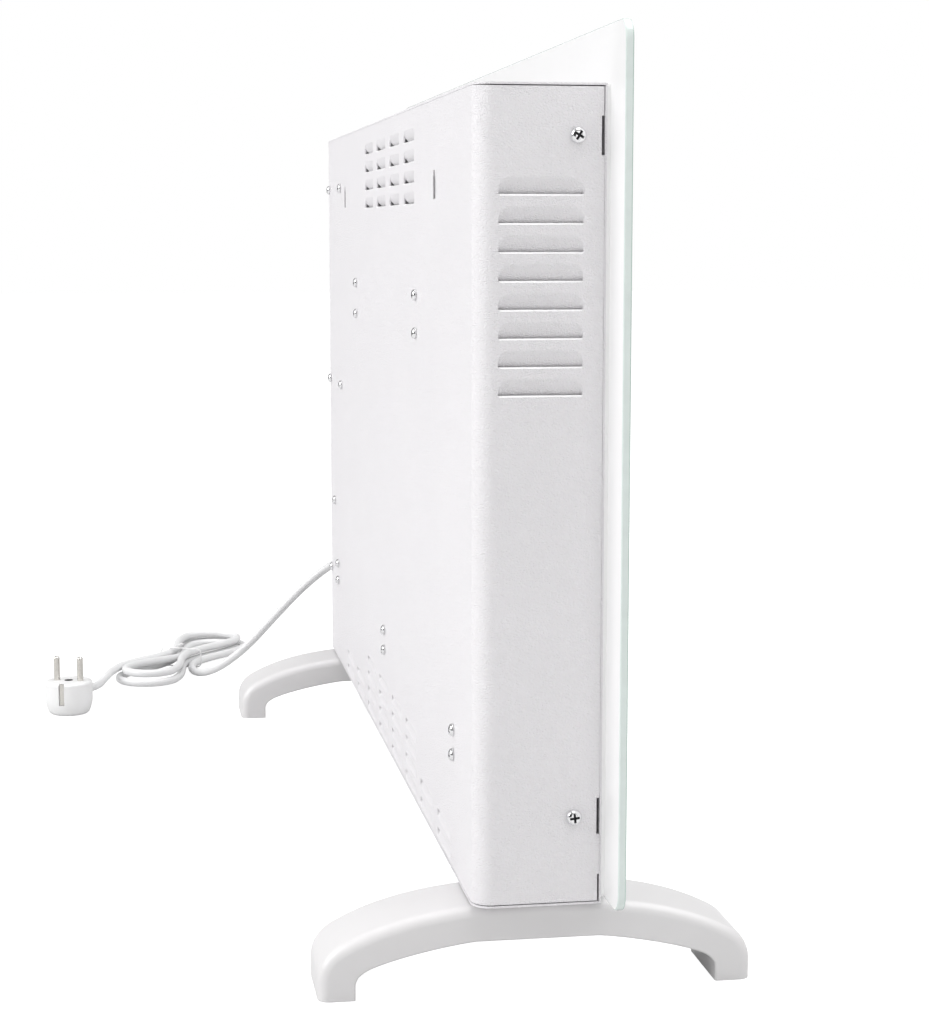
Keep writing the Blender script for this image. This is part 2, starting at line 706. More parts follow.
def outline_mesh(name, loops, thickness):
    """A plate of the given thickness, centred on z = 0; later loops are holes in the first."""
    curve = bpy.data.curves.new(name, "CURVE")
    curve.dimensions = "2D"
    curve.fill_mode = "BOTH"
    curve.extrude = thickness / 2
    for loop in loops:
        spline = curve.splines.new("POLY")
        spline.points.add(len(loop) - 1)
        for point, (x, y) in zip(spline.points, loop):
            point.co = (x, y, 0.0, 1.0)
        spline.use_cyclic_u = True
    mesh = applied(name, new_object("temporary", curve))
    bpy.data.curves.remove(curve)
    bm = opened(mesh)
    bmesh.ops.remove_doubles(bm, verts=bm.verts, dist=WELD)
    return finish_mesh(bm, name)


def arc(centre, radius, start, end, steps):
    points = []
    for step in range(steps + 1):
        angle = math.radians(start + (end - start) * step / steps)
        points.append((centre[0] + radius * math.cos(angle), centre[1] + radius * math.sin(angle)))
    return points


def rounded_rectangle(centre, width, height, radius, steps=14):
    x = width / 2 - radius
    y = height / 2 - radius
    points = []
    for quarter, (sx, sy) in enumerate(((1, 1), (-1, 1), (-1, -1), (1, -1))):
        middle = (centre[0] + sx * x, centre[1] + sy * y)
        points += arc(middle, radius, quarter * 90.0, (quarter + 1) * 90.0, steps)
    return points


def rectangle(centre, width, height):
    x = width / 2
    y = height / 2
    corners = ((x, y), (-x, y), (-x, -y), (x, -y))
    return [(centre[0] + dx, centre[1] + dy) for dx, dy in corners]


def circle(centre, radius, steps=24):
    return arc(centre, radius, 0.0, 360.0, steps)[:-1]


def bezier(start, handle_a, handle_b, end, steps):
    points = []
    for step in range(1, steps + 1):
        t = step / steps
        s = 1.0 - t
        weights = (s**3, 3 * s * s * t, 3 * s * t * t, t**3)
        knots = (start, handle_a, handle_b, end)
        points.append(tuple(sum(w * k[i] for w, k in zip(weights, knots)) for i in range(2)))
    return points


def upright(place=(0.0, 0.0, 0.0)):
    return Matrix.Translation(place) @ Matrix.Rotation(math.radians(90.0), 4, "X")


def sideways(place=(0.0, 0.0, 0.0)):
    axes = Matrix(((0, 0, 1, 0), (1, 0, 0, 0), (0, 1, 0, 0), (0, 0, 0, 1)))
    return Matrix.Translation(place) @ axes


def moved(mesh, matrix):
    mesh.transform(matrix)
    return mesh


def even_places(count, pitch):
    """Places at even steps, centred on zero."""
    return [(i - (count - 1) / 2) * pitch for i in range(count)]


# The sheets' screws by name; their centres come from the CAD nodes


def node_centre(name):
    low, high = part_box(name)
    return [(a + b) / 2 for a, b in zip(low, high)]


REAR_SCREWS = [
    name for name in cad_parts
    if "_screw" in name and not name.startswith(("foot_screw", "side_screw"))
]
SIDE_SCREWS = [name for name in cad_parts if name.startswith("side_screw")]
FOOT_SCREWS = [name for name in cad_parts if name.startswith("foot_screw")]


def notch_spans():
    spans = []
    for side in (-1, 1):
        for z in (BODY_BOTTOM + SIDE_SCREW_RISE, BODY_TOP - SIDE_SCREW_TOP_DROP):
            spans.append((side, z - NOTCH_HEIGHT / 2, z + NOTCH_HEIGHT / 2))
        spans.append((side, COVER_LOW - SEAM_GAP / 2, COVER_LOW + LOW_NOTCH_HEIGHT))
    return spans


# Rear cover: a flat blank with smoothly pressed louvres, then folded round both upright corners


def blank_s(side, y):
    return side * (FLAT_HALF + BEND_LENGTH + REAR_Y - BODY_CORNER_RADIUS - y)


def fold(point):
    s, depth, z = point
    side = 1 if s > 0 else -1
    past = abs(s) - FLAT_HALF
    if past <= 0:
        return Vector((s, REAR_Y + depth, z))
    if past <= BEND_LENGTH:
        angle = past / BODY_CORNER_RADIUS
        reach = BODY_CORNER_RADIUS + depth
        x = FLAT_HALF + reach * math.sin(angle)
        return Vector((side * x, REAR_Y - BODY_CORNER_RADIUS + reach * math.cos(angle), z))
    y = REAR_Y - BODY_CORNER_RADIUS - (past - BEND_LENGTH)
    return Vector((side * (HALF_WIDTH + depth), y, z))


def louvre_places():
    """Centre along the blank, slit height, size with its look, and direction of every louvre."""
    places = []
    front = COVER_FRONT_Y + SIDE_LOUVRE_FRONT_SPACE - SEAM_GAP / 2
    s = blank_s(-1, front) + SIDE_LOUVRE_SIZE[0] / 2
    for row in range(SIDE_LOUVRE_COUNT):
        z = BODY_TOP - SIDE_LOUVRE_FIRST_DROP - row * SIDE_LOUVRE_PITCH
        places.append((s, z, SIDE_LOUVRE_SIZE + SIDE_LOUVRE_LOOK, 1))
    for row in range(VENT_ROW_COUNT):
        z = BODY_TOP - VENT_FIRST_DROP - row * VENT_PITCH_Z
        for x in even_places(VENT_COLUMN_COUNT, VENT_PITCH_X):
            places.append((VENT_CENTRE_X + x, z, VENT_SIZE + VENT_LOOK, 1))
    for row in range(INTAKE_ROW_COUNT):
        z = BODY_BOTTOM + INTAKE_FIRST_RISE + row * INTAKE_PITCH_Z
        long_row = row < INTAKE_LONG_ROW_COUNT
        count = INTAKE_COLUMN_COUNT if long_row else INTAKE_SHORT_COLUMN_COUNT
        for x in even_places(count, VENT_PITCH_X):
            places.append((VENT_CENTRE_X + x, z, INTAKE_SIZE + INTAKE_LOOK, -1))
    return places


def louvre_edge(size):
    """The D outline, from the right end of the slit over the far side to the left."""
    length, height, _, corner_share, _, _ = size
    bend = height * corner_share
    half = length / 2
    corner = arc((half - bend, height - bend), bend, 0.0, 90.0, LOUVRE_CORNER_STEPS)
    right = [(half, 0.0)] + corner
    return right + [(-x, z) for x, z in reversed(right)]


def slope(t):
    """Share of the full depth, with a soft start where the sheet begins to bend."""
    full = 1 - LOUVRE_BLEND / 2
    if t < LOUVRE_BLEND:
        return t * t / (2 * LOUVRE_BLEND * full)
    return (t - LOUVRE_BLEND / 2) / full


def skin_rim(rings):
    """The free edge of a louvre's skin: down its first side, along the lip, up its last side."""
    first = [ring[0] for ring in rings]
    return first + rings[-1][1:] + [ring[-1] for ring in reversed(rings[:-1])]


def add_louvre(bm, s, z, size, up):
    """The pressed skin of one louvre, open along its slit."""
    length, _, depth, _, lip_rise, open_ends = size
    edge = louvre_edge(size)
    if open_ends:
        edge = edge[1:-1]
    lip_half = length / 2 - LOUVRE_END_SHARE * depth
    skins = []
    for inner in (0.0, -SHEET):
        rings = []
        for t in LOUVRE_RINGS:
            ring = []
            for i, (x, rise) in enumerate(edge):
                fan = lip_half * (1 - 2 * i / (len(edge) - 1)) if t > 0 else x
                held = max(-lip_half, min(lip_half, x))
                lip_x = held * (1 - LIP_FAN_SHARE) + fan * LIP_FAN_SHARE
                height = z + up * (rise * (1 - t) + lip_rise * t)
                place = (s + x + (lip_x - x) * t, inner - depth * slope(t), height)
                ring.append(bm.verts.new(place))
            rings.append(ring)
        skins.append(rings)
    for rings in skins:
        for a, b in zip(rings, rings[1:]):
            for i in range(len(a) - 1):
                bm.faces.new((a[i], a[i + 1], b[i + 1], b[i]))
    outer, inner = [skin_rim(rings) for rings in skins]
    for i in range(len(outer) - 1):
        bm.faces.new((outer[i], outer[i + 1], inner[i + 1], inner[i]))


def slit_loop(s, z, size, up):
    """A louvre's outline in the plate; its straight side lies back by the chamfer."""
    loop = [(s + x, z + up * rise) for x, rise in louvre_edge(size)]
    reach = size[0] / 2 - SLIT_CHAMFER
    return loop + [(s - reach, z - up * SLIT_CHAMFER), (s + reach, z - up * SLIT_CHAMFER)]


def add_slit_lip(bm, s, z, size, up):
    """The sheet's cut edge along a slit, its outer arris chamfered, with fans at both ends."""
    cut = ((0.0, -SLIT_CHAMFER), (-SLIT_CHAMFER, 0.0), (-SHEET, 0.0), (-SHEET, -SLIT_CHAMFER))
    reach = size[0] / 2 - SLIT_CHAMFER
    columns = []
    for x in (-reach, reach):
        columns.append([bm.verts.new((s + x, depth, z + up * rise)) for depth, rise in cut])
    left, right = columns
    painted = []
    for i in range(len(cut) - 1):
        face = bm.faces.new((left[i], left[i + 1], right[i + 1], right[i]))
        if i == 0:
            painted.append(face)
    for side, column in zip((-1, 1), columns):
        front = bm.verts.new((s + side * size[0] / 2, 0.0, z))
        back = bm.verts.new((s + side * size[0] / 2, -SHEET, z))
        painted.append(bm.faces.new((front, column[0], column[1])))
        bm.faces.new((front, column[1], column[2], back))
        bm.faces.new((back, column[2], column[3]))
    for face in painted:
        face.material_index = 1


def cover_outline():
    loop = []
    for side in (1, -1):
        points = []
        tight = BLANK_HALF + SEAM_GAP - TIGHT_SEAM
        notch = BLANK_HALF - NOTCH_DEPTH
        low_notch = BLANK_HALF - LOW_NOTCH_DEPTH
        for _, low, high in sorted(span for span in notch_spans() if span[0] == side):
            if low > COVER_LOW:
                points += [(tight, low), (notch, low)]
                points += [(notch, high), (tight, high)]
            else:
                points += [(low_notch, COVER_LOW), (low_notch, high), (tight, high)]
        points[-1] = (BLANK_HALF, points[-1][1])
        points += [(BLANK_HALF, COVER_HIGH), (FLAT_HALF + BEND_LENGTH, COVER_HIGH)]
        points.append((FLAT_HALF, COVER_HIGH + SEAM_GAP - TIGHT_SEAM))
        if side < 0:
            points = [(-s, z) for s, z in reversed(points)]
        loop += points
    return loop


def hanger_loop(x):
    high = BODY_TOP - HANGER_DROP
    low = high - HANGER_HEIGHT
    neck = high + HANGER_NECK_HEIGHT
    half = HANGER_WIDTH / 2
    narrow = HANGER_NECK_WIDTH / 2
    loop = [(x - half, low), (x + half, low), (x + half, high), (x + narrow, high)]
    return loop + [(x + narrow, neck), (x - narrow, neck), (x - narrow, high), (x - half, high)]


def rocker_hole(y, z):
    width = ROCKER_CASE_WIDTH + 2 * HOLE_PLAY
    return rectangle((y, z), width, ROCKER_CASE_HEIGHT + 2 * HOLE_PLAY)


def in_louvre(x, z):
    """Whether a wall of the flat plate belongs to a louvre's opening and has to go."""
    for s, slit_z, size, up in louvre_places():
        rise = up * (z - slit_z)
        out = abs(x - s) - size[0] / 2
        # An open-ended louvre keeps the plate's own wall at both ends
        if size[5] and abs(out) < WELD and 0 < rise < size[1] * (1 - size[3]):
            continue
        if out < WELD and -SLIT_CHAMFER - WELD < rise < size[1] + WELD:
            return True
    return False


def make_rear_cover():
    loops = [cover_outline()] + [slit_loop(*place) for place in louvre_places()]
    for name in REAR_SCREWS:
        x, _, z = node_centre(name)
        loops.append(circle((x, z), SCREW_RADIUS + HOLE_PLAY, HOLE_STEPS))
    for name in SIDE_SCREWS:
        x, _, z = node_centre(name)
        s = blank_s(math.copysign(1, x), SIDE_SCREW_Y)
        loops.append(circle((s, z), SIDE_SCREW_RADIUS + HOLE_PLAY, HOLE_STEPS))
    loops += [hanger_loop(x) for x in (-HANGER_SPREAD / 2, HANGER_SPREAD / 2)]
    s = blank_s(1, BEZEL_Y)
    loops.append(circle((s, KNOB_Z), BUSH_RADIUS + HOLE_PLAY))
    loops += [rocker_hole(s, z) for z in ROCKER_HEIGHTS]
    loops.append(circle((blank_s(1, GLAND_Y), GLAND_Z), GLAND_SHANK_RADIUS + HOLE_PLAY))
    bm = opened(outline_mesh("rear_cover_skin", loops, SHEET))
    for vert in bm.verts:
        s, z, height = vert.co
        vert.co = (s, height - SHEET / 2, z)
    walls = []
    for face in bm.faces:
        depths = [vert.co.y for vert in face.verts]
        middle = face.calc_center_median()
        if max(depths) - min(depths) >= SHEET / 2 and in_louvre(middle.x, middle.z):
            walls.append(face)
    bmesh.ops.delete(bm, geom=walls, context="FACES_ONLY")
    for place in louvre_places():
        add_louvre(bm, *place)
        add_slit_lip(bm, *place)
    bmesh.ops.remove_doubles(bm, verts=bm.verts, dist=WELD)
    for side in (-1, 1):
        for step in range(BEND_STEPS + 1):
            line = (side * (FLAT_HALF + BEND_LENGTH * step / BEND_STEPS), 0, 0)
            geom = [*bm.verts, *bm.edges, *bm.faces]
            bmesh.ops.bisect_plane(bm, geom=geom, plane_co=line, plane_no=(1, 0, 0), dist=WELD)
    for vert in bm.verts:
        vert.co = fold(vert.co)
    mesh = finish_mesh(bm, "rear_cover_skin")
    mesh.materials.append(COAT)
    mesh.materials.append(COAT_EDGE)
    piece("rear_cover_skin", mesh, COAT, ["rear_cover"])


# Front chassis


def slot_prisms(bm, rows, z_low, z_high):
    half = OUTLET_LENGTH / 2 - OUTLET_WIDTH / 2
    for row in even_places(rows, OUTLET_PITCH_Y):
        y = (PLATE_BACK_Y + LINER_Y) / 2 + row
        for column in even_places(OUTLET_COLUMN_COUNT, OUTLET_PITCH_X):
            x = OUTLET_CENTRE_X + column
            loop = arc((x + half, y), OUTLET_WIDTH / 2, -90.0, 90.0, OUTLET_END_STEPS)
            loop += arc((x - half, y), OUTLET_WIDTH / 2, 90.0, 270.0, OUTLET_END_STEPS)
            low = [bm.verts.new((px, py, z_low)) for px, py in loop]
            high = [bm.verts.new((px, py, z_high)) for px, py in loop]
            bm.faces.new(list(reversed(low)))
            bm.faces.new(high)
            for i, vert in enumerate(low):
                j = (i + 1) % len(low)
                bm.faces.new((vert, low[j], high[j], high[i]))


def make_front_chassis():
    bend = BODY_CORNER_RADIUS
    plan = [(-HALF_WIDTH, FRONT_Y), (HALF_WIDTH, FRONT_Y)]
    plan += arc((HALF_WIDTH - bend, REAR_Y - bend), bend, 0.0, 90.0, BEND_STEPS)
    plan += arc((bend - HALF_WIDTH, REAR_Y - bend), bend, 90.0, 180.0, BEND_STEPS)
    block = outline_mesh("front_chassis_skin", [plan], BODY_HEIGHT)
    moved(block, Matrix.Translation((0.0, 0.0, BODY_BOTTOM + BODY_HEIGHT / 2)))
    inside = (-HALF_WIDTH - OVERRUN, PLATE_BACK_Y, BODY_BOTTOM + SHEET)
    outside = (HALF_WIDTH + OVERRUN, REAR_Y + OVERRUN, BODY_TOP - SHEET)
    lips, tabs, holes = bmesh.new(), bmesh.new(), bmesh.new()
    start = FRONT_Y + SHEET / 2

    def side_box(bm, side, half, low_y, high_y, low_z, high_z):
        x = side * (LINER_X - SHEET / 2)
        box(bm, (x - half, low_y, low_z), (x + half, high_y, high_z))

    for side in (-1, 1):
        side_box(lips, side, SHEET / 2, start, FRONT_Y + LIP_DEPTH, COVER_LOW, COVER_HIGH)
    for name in SIDE_SCREWS:
        x, _, z = node_centre(name)
        side = math.copysign(1, x)
        span = (z - TAB_HEIGHT / 2, z + TAB_HEIGHT / 2)
        side_box(tabs, side, SHEET / 2, start, FRONT_Y + TAB_DEPTH, *span)
        ends = [(side * LINER_X + sign * OVERRUN, SIDE_SCREW_Y, z) for sign in (-1, 1)]
        rod(holes, *ends, SIDE_SCREW_RADIUS + HOLE_PLAY)
    bottom = (BODY_BOTTOM - OVERRUN, BODY_BOTTOM + SHEET + OVERRUN)
    slot_prisms(holes, OUTLET_ROW_COUNT, BODY_TOP - SHEET - OVERRUN, BODY_TOP + OVERRUN)
    slot_prisms(holes, INLET_ROW_COUNT, *bottom)
    for name in FOOT_SCREWS:
        x, y, _ = node_centre(name)
        rod(holes, *((x, y, z) for z in bottom), FOOT_SCREW_RADIUS + HOLE_PLAY)
    for side, *span in notch_spans():
        side_box(holes, side, SHEET, PLATE_BACK_Y, COVER_FRONT_Y + NOTCH_DEPTH, *span)
    mesh = carved(
        block,
        ("DIFFERENCE", box_mesh("channel", inside, outside)),
        ("UNION", finish_mesh(lips, "lips")),
        ("UNION", finish_mesh(tabs, "tabs")),
        ("DIFFERENCE", finish_mesh(holes, "holes")),
    )
    piece("front_chassis_skin", mesh, COAT, ["front_chassis"])


# Glass and its bead


def glass_side(face):
    """Rim, front, printed back or front arris, by where the face looks."""
    y = face.normal.y
    if abs(y) > FLAT_NORMAL:
        return 1 if y < 0 else 2
    return 3 if y < -ARRIS_NORMAL else 0


def make_glass():
    centre = (0.0, (GLASS_LOW + GLASS_HIGH) / 2)
    height = GLASS_HIGH - GLASS_LOW
    outline = rounded_rectangle(centre, GLASS_WIDTH, height, GLASS_CORNER_RADIUS,
                                GLASS_CORNER_STEPS)
    bm = opened(outline_mesh("glass_pane", [outline], GLASS_THICKNESS))
    bmesh.ops.dissolve_limit(bm, angle_limit=DISSOLVE_ANGLE, verts=[], edges=bm.edges)
    pane = bevelled(finish_mesh(bm, "glass_pane"), GLASS_CHAMFER, segments=2, angle=50.0)
    moved(pane, upright((0.0, GLASS_BACK_Y - GLASS_THICKNESS / 2, 0.0)))
    paint(pane, (RIM, FRONT, PRINT, DEEP_RIM), glass_side)
    piece("glass_pane", pane, RIM, ["glass_panel"], sharp=20.0)

    low = max(BODY_BOTTOM, GLASS_LOW) + BEAD_INSET
    high = BODY_TOP - BEAD_INSET
    width = BODY_WIDTH - 2 * BEAD_INSET
    middle = (0.0, (low + high) / 2)
    outer = rounded_rectangle(middle, width, high - low, BEAD_CORNER_RADIUS)
    frame_width, frame_height = width - 2 * BEAD_WIDTH, high - low - 2 * BEAD_WIDTH
    inner = rounded_rectangle(middle, frame_width, frame_height, BEAD_WIDTH / 4)
    bead = outline_mesh("bonding_bead", [outer, inner], FRONT_Y - GLASS_BACK_Y - 2 * WELD)
    moved(bead, upright((0.0, (FRONT_Y + GLASS_BACK_Y) / 2, 0.0)))
    piece("bonding_bead", bead, BEAD, ["glass_bead"])


# Feet


def foot_outline():
    half = FOOT_LENGTH / 2
    inner = half - FOOT_LEG_THICKNESS

    def outer_point(shares):
        return (shares[0] * half, shares[1] * FOOT_HEIGHT)

    def arch_point(shares):
        return (shares[0] * inner, shares[1] * FOOT_ARCH_HEIGHT)

    crown_end = outer_point(CROWN_END_SHARES)
    shoulder_end = outer_point(SHOULDER_END_SHARES)
    top = bezier((0.0, FOOT_HEIGHT), *map(outer_point, CROWN_HANDLE_SHARES), crown_end,
                 CROWN_STEPS)
    top += bezier(crown_end, *map(outer_point, SHOULDER_HANDLE_SHARES), shoulder_end,
                  SHOULDER_STEPS)
    knee = arch_point(ARCH_FOOT_SHARES)
    hip = arch_point(ARCH_HIP_SHARES)
    under = [(half, 0.0), (inner, 0.0), knee]
    under += bezier(knee, *map(arch_point, ARCH_KNEE_HANDLE_SHARES), hip, KNEE_STEPS)
    flat_end = arch_point(ARCH_FLAT_SHARES)
    under += bezier(hip, *map(arch_point, ARCH_HANDLE_SHARES), flat_end, ARCH_STEPS)
    under.append((0.0, flat_end[1]))
    right = top + under
    left = [(-y, z) for y, z in reversed(right[:-1])]
    return [(0.0, FOOT_HEIGHT)] + right + left, len(top) + 1


def foot_bar(name):
    """The foot's outline carried across its width, with both long upper edges rounded."""
    outline, outer_count = foot_outline()
    count = len(outline)
    rounding = []
    for i, (y, z) in enumerate(outline):
        before = Vector(outline[i - 1])
        after = Vector(outline[(i + 1) % count])
        along = (after - before).normalized()
        inward = Vector((along.y, -along.x))
        under = min(i, count - i) > outer_count
        if z < WELD:
            inward = Vector((-math.copysign(1, y) * (-1 if under else 1), 0.0))
        rounding.append((inward, FOOT_ARCH_ROUND if under else FOOT_EDGE_RADIUS))
    bm = bmesh.new()
    rings = []
    for side in (-1, 1):
        for step in range(FOOT_ROUND_STEPS + 1):
            turn = math.pi / 2 * (FOOT_ROUND_STEPS - step if side < 0 else step) / FOOT_ROUND_STEPS
            ring = []
            for (y, z), (inward, radius) in zip(outline, rounding):
                edge = Vector((y, z)) + inward * radius * (1 - math.cos(turn))
                across = side * (FOOT_WIDTH / 2 - radius * (1 - math.sin(turn)))
                ring.append(bm.verts.new((edge.x, edge.y, across)))
            rings.append(ring)
    for low, high in zip(rings, rings[1:]):
        for i in range(count):
            j = (i + 1) % count
            bm.faces.new((low[i], low[j], high[j], high[i]))
    bm.faces.new(list(reversed(rings[0])))
    bm.faces.new(rings[-1])
    return finish_mesh(bm, name)


def foot_mesh(name, x):
    bar = moved(foot_bar(name), sideways((x, 0.0, 0.0)))
    wells = []
    for screw in FOOT_SCREWS:
        screw_x, y, _ = node_centre(screw)
        if abs(screw_x - x) > FOOT_WIDTH / 2:
            continue
        seat = FOOT_ARCH_HEIGHT + FOOT_SCREW_SEAT_DEPTH - FOOT_SCREW_HEAD_HEIGHT
        head_radius = FOOT_SCREW_HEAD_RADIUS + HOLE_PLAY
        head = rod_mesh((screw_x, y, 0.0), (screw_x, y, seat), head_radius, FOOT_WELL_STEPS)
        top = (screw_x, y, FOOT_HEIGHT + OVERRUN)
        bore = rod_mesh((screw_x, y, seat - OVERRUN), top, FOOT_SCREW_RADIUS + HOLE_PLAY)
        wells += [("DIFFERENCE", head), ("DIFFERENCE", bore)]
    return carved(bar, *wells)


def make_feet():
    for side, sign in (("left", -1), ("right", 1)):
        x = sign * (HALF_WIDTH - FOOT_INSET - FOOT_WIDTH / 2)
        mesh = foot_mesh(f"foot_{side}_shell", x)
        piece(f"foot_{side}_shell", mesh, FOOT, [f"foot_{side}"], sharp=35.0)


# Screws with a cross recess


def recess_arm(reach, head_radius, head_height, angle):
    """One arm of the cross recess: a prism that narrows downwards."""
    bm = bmesh.new()
    deep = (reach * RECESS_DEEP_SHARES[0], head_height * RECESS_DEEP_SHARES[1])
    wide = (reach, head_height * RECESS_WIDE_HEIGHT_SHARE)
    above = (reach * RECESS_FLARE, head_height + OVERRUN)
    for x, z in (deep, wide, above):
        for sign_x in (-1, 1):
            for sign_y in (-1, 1):
                y = sign_y * head_radius * RECESS_HALF_WIDTH_SHARE
                bm.verts.new((sign_x * x, y, z))
    made = bmesh.ops.convex_hull(bm, input=bm.verts)
    spare = [item for item in made["geom_interior"] if isinstance(item, bmesh.types.BMVert)]
    bmesh.ops.delete(bm, geom=spare, context="VERTS")
    bmesh.ops.transform(bm, matrix=Matrix.Rotation(angle, 4, "Z"), verts=bm.verts)
    return finish_mesh(bm, "recess")


def pan_head_mesh(name, radius, head_radius, head_height, length):
    profile = [(head_radius * out, head_height * up) for out, up in SCREW_DOME]
    profile.append((radius, 0.0))
    root, root_drop = THREAD_ROOT_SHARES
    for ring in range(THREAD_RING_COUNT):
        top = -length * ring / THREAD_RING_COUNT
        profile.append((radius, top - length * THREAD_CREST_SHARE))
        profile.append((radius * root, top - length * root_drop))
    profile += [(radius * out, -length * down) for out, down in SCREW_TIP_SHARES]
    blank = turned_mesh(name, profile + [(0.0, -length)], SCREW_STEPS)
    reach = head_radius * RECESS_REACH_SHARE
    arms = [recess_arm(reach, head_radius, head_height, angle) for angle in (0.0, math.pi / 2)]
    mesh = carved(blank, *(("DIFFERENCE", arm) for arm in arms))

    def in_recess(face):
        out = math.hypot(face.center.x, face.center.y)
        low, high = [head_height * share for share in RECESS_PAINT_HEIGHTS]
        if out >= reach:
            high = head_height
        if out >= reach * RECESS_PAINT_REACH or not low < face.center.z < high:
            return False
        wall = abs(face.normal.z) < RECESS_WALL_NORMAL
        return wall or face.center.z < head_height * RECESS_FLOOR_HEIGHT

    paint(mesh, (BRIGHT, DARK), in_recess)
    return mesh


def make_screws():
    turn = FIRST_SCREW_TURN

    def place_head(name, mesh, place):
        piece(f"{name}_head", mesh, BRIGHT, [name], place=place)

    small = pan_head_mesh("rear_screw", SCREW_RADIUS, SCREW_HEAD_RADIUS, SCREW_HEAD_HEIGHT,
                          SCREW_LENGTH)
    for name in REAR_SCREWS:
        x, _, z = node_centre(name)
        turn = (turn * REAR_SCREW_TURN[0] + REAR_SCREW_TURN[1]) % SCREW_TURN_LIMIT
        spin = Matrix.Rotation(turn, 4, "Z")
        place_head(name, small, Matrix.Translation((x, REAR_Y + SEAT_GAP, z)) @ REAR_FACING @ spin)
    large = pan_head_mesh("side_screw", SIDE_SCREW_RADIUS, SIDE_SCREW_HEAD_RADIUS,
                          SIDE_SCREW_HEAD_HEIGHT, SIDE_SCREW_LENGTH)
    for name in SIDE_SCREWS:
        x, _, z = node_centre(name)
        side = math.copysign(1, x)
        turn = (turn * SIDE_SCREW_TURN[0] + SIDE_SCREW_TURN[1]) % SCREW_TURN_LIMIT
        facing = RIGHT_FACING if side > 0 else LEFT_FACING
        place = Matrix.Translation((side * (HALF_WIDTH + SEAT_GAP), SIDE_SCREW_Y, z)) @ facing
        place_head(name, large, place @ Matrix.Rotation(turn, 4, "Z"))
    seat = FOOT_ARCH_HEIGHT + FOOT_SCREW_SEAT_DEPTH - FOOT_SCREW_HEAD_HEIGHT - SEAT_GAP
    length = BODY_BOTTOM + SHEET + FOOT_SCREW_STICKS_UP - seat
    long_screw = pan_head_mesh("foot_screw", FOOT_SCREW_RADIUS, FOOT_SCREW_HEAD_RADIUS,
                               FOOT_SCREW_HEAD_HEIGHT, length)
    for name in FOOT_SCREWS:
        x, y, _ = node_centre(name)
        turned = Matrix.Rotation(math.pi, 4, "X")
        place_head(name, long_screw, Matrix.Translation((x, y, seat)) @ turned)


# Controls


def make_bezel():
    centre = (BEZEL_Y, BEZEL_TOP_Z - BEZEL_HEIGHT / 2)
    loops = [rounded_rectangle(centre, BEZEL_WIDTH, BEZEL_HEIGHT, BEZEL_CORNER_RADIUS)]
    loops.append(circle((BEZEL_Y, KNOB_Z), BUSH_RADIUS + HOLE_PLAY, BUSH_HOLE_STEPS))
    loops += [rocker_hole(BEZEL_Y, z) for z in ROCKER_HEIGHTS]
    plate = outline_mesh("bezel_plate", loops, BEZEL_THICKNESS)
    bm = opened(plate)
    weights = bm.edges.layers.float.new("bevel_weight_edge")

    def near_border(end):
        out_y = abs(end.x - centre[0]) - BEZEL_WIDTH / 2
        out_z = abs(end.y - centre[1]) - BEZEL_HEIGHT / 2
        return max(out_y, out_z) > -BEZEL_CORNER_RADIUS * BEZEL_BORDER_SHARE

    for edge in bm.edges:
        ends = [vert.co for vert in edge.verts]
        on_face = all(end.z > 0 and near_border(end) for end in ends)
        if on_face and edge.calc_face_angle(0.0) > SHARP_FACE_ANGLE:
            edge[weights] = 1.0
    bm.to_mesh(plate)
    bm.free()
    plate = bevelled(plate, BEZEL_THICKNESS / 3, segments=4, weights=True)
    moved(plate, sideways((BEZEL_BACK_X + BEZEL_THICKNESS / 2, 0.0, 0.0)))
    piece("bezel_plate", plate, WHITE, ["control_bezel"])

    dots = bmesh.new()
    for step in range(DOT_COUNT):
        share = step / (DOT_COUNT - 1)
        angle = math.radians(DOT_START + DOT_TRAVEL * share)
        reach = KNOB_RADIUS + DOT_DISTANCE
        y = BEZEL_Y + reach * math.cos(angle)
        z = KNOB_Z + reach * math.sin(angle)
        ends = ((BEZEL_FACE_X - SEAT_GAP, y, z), (BEZEL_FACE_X + DOT_HEIGHT, y, z))
        rod(dots, *ends, DOT_RADIUS + DOT_GROWTH * share, DOT_STEPS)
    piece("dial_dots", finish_mesh(dots, "dial_dots"), MARKS, [])


